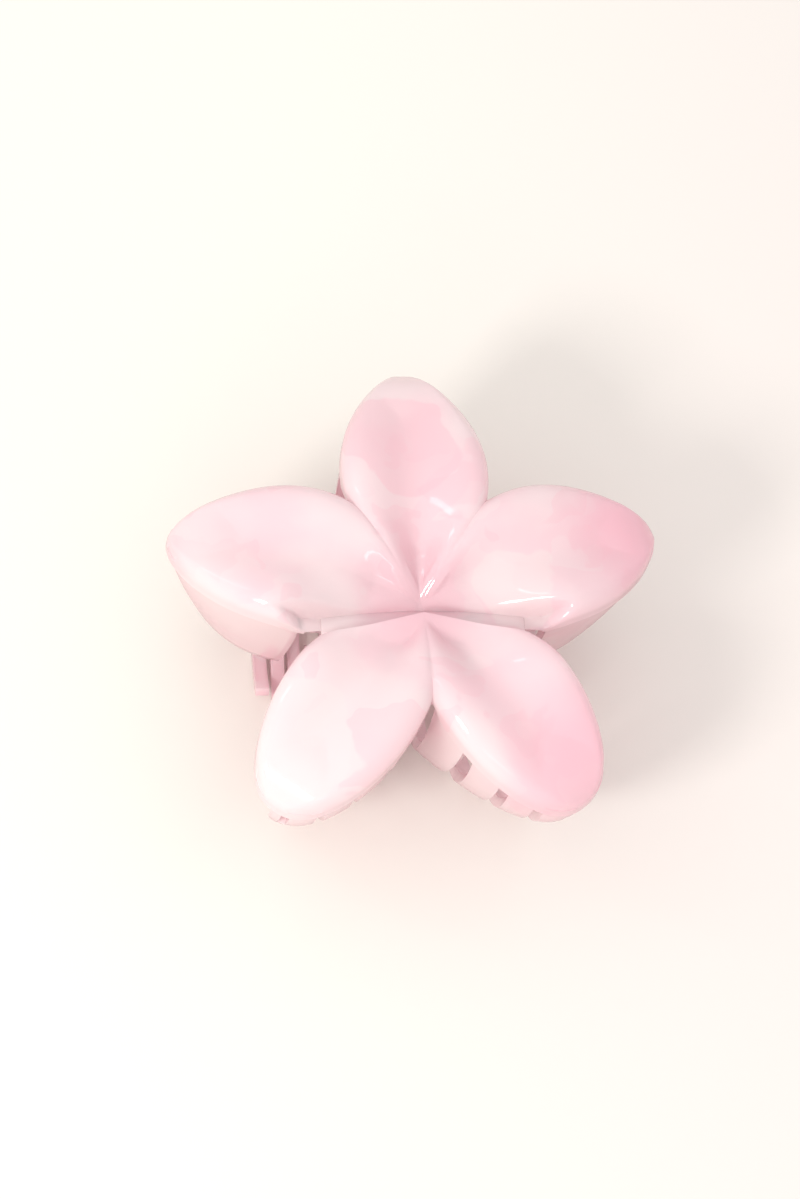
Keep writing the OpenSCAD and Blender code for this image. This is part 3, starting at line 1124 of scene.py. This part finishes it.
@dataclass
class BackHalf(Half):
    """The half with the upper petal and the two side petals."""

    body: Body = Body.BACK
    node: str = "back_half"
    guard_z: float = 10.0
    guard_lean: float = 0.3
    lug_x: float = 6.9
    lug_t: float = 2.2
    upper_wall_r: float = 24.0
    side_wall_r: float = 31.0
    guard_r: float = 17.5

    def build(self) -> list[bpy.types.Object]:
        """Builds this half's pieces."""
        self.petals()
        self.comb()
        self.guards()
        self.barrel()
        self.lugs()
        return self.pieces

    def petals(self) -> None:
        """The three petals with the strip beside the hinge valley."""
        flower = self.flower
        seam_left = flower.outline_t(flower.seam_r)
        seam_right = -seam_left
        starts = [(0.0, flower.back_apex_y * (1 - i / 4)) for i in range(4)]
        columns = [(s, LEFT, seam_left) for s in starts]
        columns += self.fan((0, 0), LEFT, seam_left, 1)
        columns += self.fan((0, 0), TOP, -1, 1)[1:]
        columns += self.fan((0, 0), RIGHT, -1, seam_right)[1:]
        columns += [(s, RIGHT, seam_right) for s in reversed(starts)]
        self.skin("back_petals", columns, flower.back_z)

    def comb(self) -> None:
        """The nine prongs under the upper and side petals."""
        flower, sizes = self.flower, Prongs()
        comb = Comb(flower, sizes, 1)
        top_t = flower.outline_t(self.upper_wall_r)
        side_t = flower.outline_t(-self.side_wall_r)
        upper = (TOP, top_t, -top_t)
        walls = {-1: (LEFT, side_t, 1.04), 1: (RIGHT, -1.04, -side_t)}
        maker = Maker(flower)
        for i in range(-2, 3):
            comb.prong(maker, upper, i * sizes.pitch)
        for side, wall in walls.items():
            for i in (2, 3, 4):
                comb.prong(maker, wall, side * i * sizes.pitch)
        self.keep(maker.piece("back_comb", thickness=flower.wall, bevel=0.28))

    def guards(self) -> None:
        """The curved guard walls under the side petals."""
        flower = self.flower
        maker = Maker(flower)
        seam_t = flower.outline_t(self.guard_r)
        comb_t = flower.outline_t(-self.side_wall_r) + 0.03
        for petal, t0, t1 in ((LEFT, seam_t, comb_t), (RIGHT, -comb_t, -seam_t)):
            centre = petal.place(24, 0)

            def surface(
                u: float,
                v: float,
                petal: Petal = petal,
                t0: float = t0,
                t1: float = t1,
                centre: tuple[float, float] = centre,
            ) -> Point:
                """A point of a guard, which leans in towards its lower edge."""
                top = flower.wall_top(petal, lerp(t0, t1, u), flower.jaw_inset)
                pull = self.guard_lean * v**1.5
                return (
                    lerp(top[0], centre[0], pull),
                    lerp(top[1], centre[1], pull),
                    lerp(top[2], self.guard_z, v),
                )

            maker.grid(
                54,
                14,
                surface,
                lambda p, c=centre: Vector((p.x - c[0], p.y - c[1], 0)),
            )
        self.keep(maker.piece("back_guards", thickness=flower.wall, bevel=0.3))

    def barrel(self) -> None:
        """The half tube that hides the hinge."""
        flower = self.flower
        maker = Maker(flower)

        def surface(u: float, v: float) -> Point:
            """A point of the tube, which is open below."""
            angle = lerp(-12, 146, v)
            return (
                lerp(-flower.barrel_half, flower.barrel_half, u),
                flower.hinge_y + flower.barrel_r * cos_d(angle),
                flower.hinge_z + flower.barrel_r * sin_d(angle),
            )

        maker.grid(
            24,
            48,
            surface,
            lambda p: Vector((0, p.y - flower.hinge_y, p.z - flower.hinge_z)),
        )
        self.keep(maker.piece("back_barrel", thickness=flower.barrel_wall, bevel=0.2))

    def lugs(self) -> None:
        """The two outer lugs, their webs and the bar under the spring's leg."""
        maker = Maker(self.flower)
        for side in (-1, 1):
            x0, x1 = sorted((side * self.lug_x, side * (self.lug_x + self.lug_t)))
            maker.ring(self.flower.bore_r, self.flower.lug_r, x0, x1)
        self.keeper(maker, 1, self.lug_x + 1)
        self.keep(maker.piece("back_lugs"))
        webs = Maker(self.flower)
        over_pin = [
            (-3.5, 1.15, 1.25), (-2.4, 0.3, 2.59), (-1.6, 0.9, 3.6), (-1.2, 1.0, 3.6),
            (0.0, 1.4, 3.6), (1.2, 1.0, 3.6), (2.0, 0.0, 3.6),
        ]
        outer = [
            (1.5, -2.38, 3.6), (2.0, -2.56, 3.6), (3.0, -2.93, TO_SKIN),
            (6.0, -4.0, TO_SKIN), (9.0, -5.1, TO_SKIN), (11.5, -3.6, TO_SKIN),
        ]
        for columns in (over_pin, outer):
            self.web(webs, columns, self.lug_x, self.lug_t, self.flower.back_z)
        self.keep(webs.piece("back_webs", thickness=self.lug_t, bevel=0.15))


@dataclass
class FrontHalf(Half):
    """The half with the two lower petals."""

    body: Body = Body.FRONT
    node: str = "front_half"
    lug_x: float = 4.4
    lug_t: float = 2.2
    wall_r: float = 30.0

    def build(self) -> list[bpy.types.Object]:
        """Builds this half's pieces."""
        self.petals()
        self.comb()
        self.lugs()
        return self.pieces

    def petals(self) -> None:
        """The two petals, which ride over the hinge valley."""
        flower = self.flower
        seam_t = flower.outline_t(-flower.seam_r)
        apex = (0.0, flower.front_apex_y)
        columns = list(reversed(self.fan(apex, LOW_LEFT, -1, seam_t)))
        columns += self.fan(apex, LOW_RIGHT, 1, -seam_t)[1:]
        self.skin("front_petals", columns, flower.front_z)

    def comb(self) -> None:
        """The eight prongs under the lower petals, the outermost with a short window."""
        flower, sizes = self.flower, Prongs()
        comb = Comb(flower, sizes, -1)
        comb_t = flower.outline_t(self.wall_r)
        walls = {-1: (LOW_LEFT, -1.04, -comb_t), 1: (LOW_RIGHT, comb_t, 1.04)}
        maker = Maker(flower)
        for side, wall in walls.items():
            for i in range(3):
                comb.prong(maker, wall, side * (i + 0.5) * sizes.pitch)
            self.outer_prong(maker, comb, wall, side)
        self.keep(maker.piece("front_comb", thickness=flower.wall, bevel=0.28))

    def outer_prong(
        self, maker: Maker, comb: Comb, wall: tuple[Petal, float, float], side: int
    ) -> None:
        """The outermost prong: its outer side runs in to the tip, under a short window.

        Args:
            maker: The mesh to add to.
            comb: The comb that it belongs to.
            wall: The petal and the outline places of the wall it is cut from.
            side: 1 on the right, -1 on the left.
        """
        sizes = comb.sizes
        slot_x, slot_half = 4 * sizes.pitch, sizes.slot_w / 2
        tip_x = 3.5 * sizes.pitch + sizes.tip_w / 2
        window_z, window_run = 16.0, 4.0
        run_in_z, full_z = 5.0, 24.0

        def outer(_: float, z: float) -> float:
            """The prong's outer side, free of any limit above the run-in."""
            if z >= full_z:
                return slot_x + 20
            return spread((tip_x, slot_x + 4), (z - run_in_z) / (full_z - run_in_z))

        def inner(y: float, z: float) -> float:
            """The prong's inner side."""
            return 3 * sizes.pitch + sizes.gap(y, z, -1)

        def beside(_: float, z: float) -> float:
            """The outer side of the part beside the window."""
            return min(slot_x - slot_half, outer(0, z)) if z > window_z else outer(0, z)

        def past(_: float, z: float) -> float:
            """The inner side of the part past the window, which narrows under it."""
            if z > window_z:
                return slot_x + slot_half
            share = clamp((z - window_z + window_run) / window_run, 0, 1)
            return lerp(slot_x - slot_half, slot_x + slot_half, share)

        bounds = ((inner, beside, 3.0), (past, outer, 0.62))
        for low, high, last in bounds:
            if side > 0:
                comb.strip(maker, wall, low, high, last=last)
            else:
                comb.strip(
                    maker,
                    wall,
                    lambda y, z, f=high: -f(y, z),
                    lambda y, z, f=low: -f(y, z),
                    last=last,
                )

    def lugs(self) -> None:
        """The two inner lugs, their webs, closing heels and the bar under the spring's leg."""
        flower = self.flower
        maker = Maker(flower)
        for side in (-1, 1):
            x0, x1 = sorted((side * self.lug_x, side * (self.lug_x + self.lug_t)))
            maker.ring(self.flower.bore_r, self.flower.lug_r, x0, x1)
        self.keeper(maker, -1, self.lug_x + 1)
        self.keep(maker.piece("front_lugs"))
        webs = Maker(flower)
        columns = [
            (-1.6, -2.42, 0.0), (-2.3, -2.67, -0.7), (-5.2, -3.72, -1.3),
            (-5.21, -3.72, TO_SKIN), (-7.2, -4.45, TO_SKIN), (-9.0, -5.1, TO_SKIN),
            (-11.5, -3.6, TO_SKIN),
        ]
        self.web(webs, columns, self.lug_x, self.lug_t, flower.front_z)
        for side in (-1, 1):

            def heel(u: float, v: float, side: int = side) -> Point:
                """A point of the heel that meets the barrel when the clip closes."""
                angle, r = lerp(-13, -68, u), lerp(1.4, 4.1, v)
                return (
                    side * (self.lug_x + self.lug_t),
                    flower.hinge_y + r * cos_d(angle),
                    flower.hinge_z + r * sin_d(angle),
                )

            webs.grid(12, 3, heel, lambda _, side=side: Vector((side, 0, 0)))
        self.keep(webs.piece("front_webs", thickness=self.lug_t, bevel=0.15))


# ---------------------------------------------------------------- pin and spring


@dataclass
class Hinge:
    """The steel pin and the torsion spring round it, in mm."""

    flower: Flower
    pin_r: float = 1.1
    head_r: float = 1.9
    head_t: float = 0.8
    head_x: float = 9.15
    wire_d: float = 1.0
    coil_r: float = 2.0
    turns: int = 6
    coil_half: float = 3.45
    coil_steps: int = 28
    leg_len: float = 11.5
    end_round: float = 0.15
    blend_in: float = 0.55

    def pin(self) -> bpy.types.Object:
        """Builds the pin with its two upset heads."""
        maker = Maker(self.flower)
        y, z = self.flower.hinge_y, self.flower.hinge_z
        maker.rod(self.pin_r, -self.head_x, self.head_x, y, z, 0.05)
        for side in (-1, 1):
            ends = sorted((side * self.head_x, side * (self.head_x + self.head_t)))
            maker.rod(self.head_r, ends[0], ends[1], y, z, 0.32)
        obj = maker.piece("pin", sharp=50)
        obj.data.materials.append(Steel("pin_steel", roughness=0.2).material())
        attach(obj, Body.BACK.value)
        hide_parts("hinge_pin")
        return obj

    def spring(self) -> bpy.types.Object:
        """Builds the spring: a coil with one leg to each half."""
        maker = Maker(self.flower)
        bm = maker.bm
        y, z = self.flower.hinge_y, self.flower.hinge_z
        steps = self.turns * self.coil_steps
        tilt = Matrix.Rotation(math.pi / 2, 4, "X")
        turn = Matrix.Translation((-self.coil_half, y, z - self.coil_r)) @ tilt
        made = bmesh.ops.create_circle(bm, segments=14, radius=self.wire_d / 2, matrix=turn)
        first = made["verts"]
        rim = list({e for v in first for e in v.link_edges})
        coil = bmesh.ops.spin(
            bm,
            geom=first + rim,
            cent=(0, y, z),
            axis=(1, 0, 0),
            dvec=(2 * self.coil_half / steps, 0, 0),
            angle=2 * math.pi * self.turns,
            steps=steps,
            use_merge=False,
        )
        last = [e for e in coil["geom_last"] if isinstance(e, bmesh.types.BMEdge)]
        for edges, side in ((rim, -1), (last, 1)):
            leg = bmesh.ops.extrude_edge_only(bm, edges=edges)["geom"]
            verts = [v for v in leg if isinstance(v, bmesh.types.BMVert)]
            made_edges = [e for e in leg if isinstance(e, bmesh.types.BMEdge)]
            ring = [e for e in made_edges if all(v in verts for v in e.verts)]
            run = side * (self.leg_len - self.end_round)
            bmesh.ops.translate(bm, verts=verts, vec=(0, run, 0))
            cap = bmesh.ops.contextual_create(bm, geom=ring)["faces"]
            bmesh.ops.inset_region(
                bm, faces=cap, thickness=self.end_round, use_even_offset=True
            )
            tip = list({v for f in cap for v in f.verts})
            bmesh.ops.translate(bm, verts=tip, vec=(0, side * 0.13, 0))
        bmesh.ops.recalc_face_normals(bm, faces=bm.faces[:])
        obj = maker.piece("spring", sharp=50)
        steel = Steel(
            "spring_steel", light=(0.5, 0.51, 0.54), dark=(0.33, 0.34, 0.36), roughness=0.3
        )
        obj.data.materials.append(steel.material())
        flat = (y - self.flower.y_mid) * MM
        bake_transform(obj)
        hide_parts("torsion_spring")
        return obj


# ---------------------------------------------------------------- the studio


@dataclass
class Studio:
    """Floor, light and camera, in metres."""

    flower: Flower
    floor_half: float = 3.0
    near: Colour = linear(240, 237, 229)
    far: Colour = linear(236, 229, 225)
    warm_from: float = -0.07
    warm_to: float = 0.09
    warm_slant: float = 0.25
    sky: float = 1.0
    sky_tint: Colour = (1.0, 0.985, 0.975)
    key_tint: Colour = (1.0, 0.99, 0.96)
    key_power: float = 2.5
    key_size: float = 0.18
    key_from: Point = (-0.64, -0.50, 0.62)
    key_distance: float = 0.8
    pane_power: float = 0.16
    panes: tuple[tuple[Point, float, float], ...] = (
        ((-0.75, 0.25, 0.75), 0.05, 0.30),
        ((-0.2, -0.85, 0.55), 0.30, 0.05),
    )
    right: Point = (0.989, -0.068, 0.135)
    toward: Point = (-0.148, -0.406, 0.902)
    distance: float = 0.640
    sensor_mm: float = 36.0
    lens_mm: float = 179.145
    shift_right: float = -3.215
    shift_up: float = 0.402

    def build(self) -> None:
        """Builds the floor, the lights and the camera."""
        self.floor()
        self.lights()
        self.camera()

    def floor(self) -> None:
        """A plain pale floor that is a little warmer on one side."""
        bm = bmesh.new()
        bmesh.ops.create_grid(bm, x_segments=2, y_segments=2, size=self.floor_half)
        mesh = bpy.data.meshes.new("floor")
        bm.to_mesh(mesh)
        bm.free()
        obj = bpy.data.objects.new("floor", mesh)
        bpy.context.scene.collection.objects.link(obj)
        g = Graph("pale_floor")
        where = g.place()
        parts = g.tree.nodes.new("ShaderNodeSeparateXYZ")
        g.tree.links.new(where, parts.inputs[0])
        across = Number(g, parts.outputs["X"])
        slant = Number(g, parts.outputs["Y"]) * self.warm_slant
        share = g.step(across - slant, self.warm_from, self.warm_to)
        colour = g.blend(share, self.near, self.far)
        matt = g.node(
            "ShaderNodeBsdfPrincipled",
            {},
            {"Base Color": colour, "Roughness": 0.8, "Specular IOR Level": 0.1},
        )
        mesh.materials.append(g.close(matt))

    def lights(self) -> None:
        """An even sky, one soft square lamp low on the left and two faint window panes."""
        world = bpy.data.worlds.new("sky")
        world.use_nodes = True
        back = world.node_tree.nodes["Background"]
        back.inputs["Color"].default_value = (*self.sky_tint, 1.0)
        back.inputs["Strength"].default_value = self.sky
        bpy.context.scene.world = world
        lamp = bpy.data.lights.new("key", "AREA")
        lamp.shape = "SQUARE"
        lamp.size = self.key_size
        lamp.energy = self.key_power
        lamp.color = self.key_tint
        self.hang("key", lamp, self.key_from, self.key_distance)
        for number, (direction, width, height) in enumerate(self.panes):
            pane = bpy.data.lights.new(f"pane_{number}", "AREA")
            pane.shape = "RECTANGLE"
            pane.size, pane.size_y = width, height
            pane.energy = self.pane_power
            self.hang(f"pane_{number}", pane, direction, self.key_distance)

    def hang(self, name: str, lamp: bpy.types.Light, direction: Point, distance: float) -> None:
        """Hangs a lamp in a direction from the clip, facing it.

        Args:
            name: The lamp's name.
            lamp: Its data.
            direction: Where it hangs, seen from the clip.
            distance: How far away it hangs.
        """
        obj = bpy.data.objects.new(name, lamp)
        away = Vector(direction).normalized()
        turn = away.to_track_quat("Z", "Y").to_matrix().to_4x4()
        obj.matrix_world = Matrix.Translation(away * distance) @ turn
        bpy.context.scene.collection.objects.link(obj)

    def camera(self) -> None:
        """A long lens above the front petals, turned a little to the side."""
        toward = Vector(self.toward).normalized()
        right = Vector(self.right)
        right = (right - toward * right.dot(toward)).normalized()
        up = toward.cross(right)
        middle = Vector((0, -self.flower.y_mid, self.flower.tip_z)) * MM
        aim = middle + (right * self.shift_right + up * self.shift_up) * MM
        lens = bpy.data.cameras.new("camera")
        lens.sensor_fit = "HORIZONTAL"
        lens.sensor_width = self.sensor_mm
        lens.lens = self.lens_mm
        lens.clip_start = 0.01
        lens.clip_end = 20.0
        obj = bpy.data.objects.new("camera", lens)
        turn = Matrix((right, up, toward)).transposed().to_4x4()
        obj.matrix_world = Matrix.Translation(aim + toward * self.distance) @ turn
        bpy.context.scene.collection.objects.link(obj)
        bpy.context.scene.camera = obj


def light_and_tone_clouds() -> tuple[Cloud, ...]:
    """Placed clouds: painted shade, painted reflections, a paler left petal and deeper pink
    right tips.
    """
    # pale paints reflections and the paler left petal, soft paints shade, deep the darker tips.
    pale, deep = linear(255, 246, 244), linear(255, 200, 214)
    soft = linear(255, 210, 220)
    return (
        # Painted shade: deeper pink down in the funnel at the middle.
        Cloud((0, -2, 33), 13.0, 11.0, soft, 0.7),
        # Painted reflection: a sharp-edged pale patch on the lower-left petal.
        Cloud((-24, -24, 34), 12.0, 0.7, pale, 0.75),
        # Painted shade: deeper pink on the left flank of the upper petal's channel.
        Cloud((-2.6, 27.2, 34), 10.0, 0.7, soft, 0.5),
        # Painted reflection: a sharp-edged pale patch by the right petal's root.
        Cloud((17, 1, 33), 7.5, 0.7, pale, 0.65),
        # Deeper pink over the right and lower-right tips, and paler over the left petal.
        Cloud((38, 12, 32), 17.0, 14.0, deep, 0.85),
        Cloud((26, -30, 32), 19.0, 16.0, deep, 0.7),
        Cloud((-34, 4, 30), 14.0, 12.0, pale, 0.6),
    )


def main() -> None:
    """Builds the clip and its studio."""
    logging.basicConfig(level=logging.INFO, format="%(message)s")
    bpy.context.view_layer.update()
    flower = Flower()
    plastic = MarbledPlasticWithPaintedLight(clouds=light_and_tone_clouds(), y_mid=flower.y_mid).material()
    Studio(flower).build()
    BackHalf(flower, plastic).build()
    FrontHalf(flower, plastic).build()
    hinge = Hinge(flower)
    hinge.pin()
    hinge.spring()
    bpy.context.scene.view_settings.view_transform = "Standard"


if __name__ == "__main__":
    main()
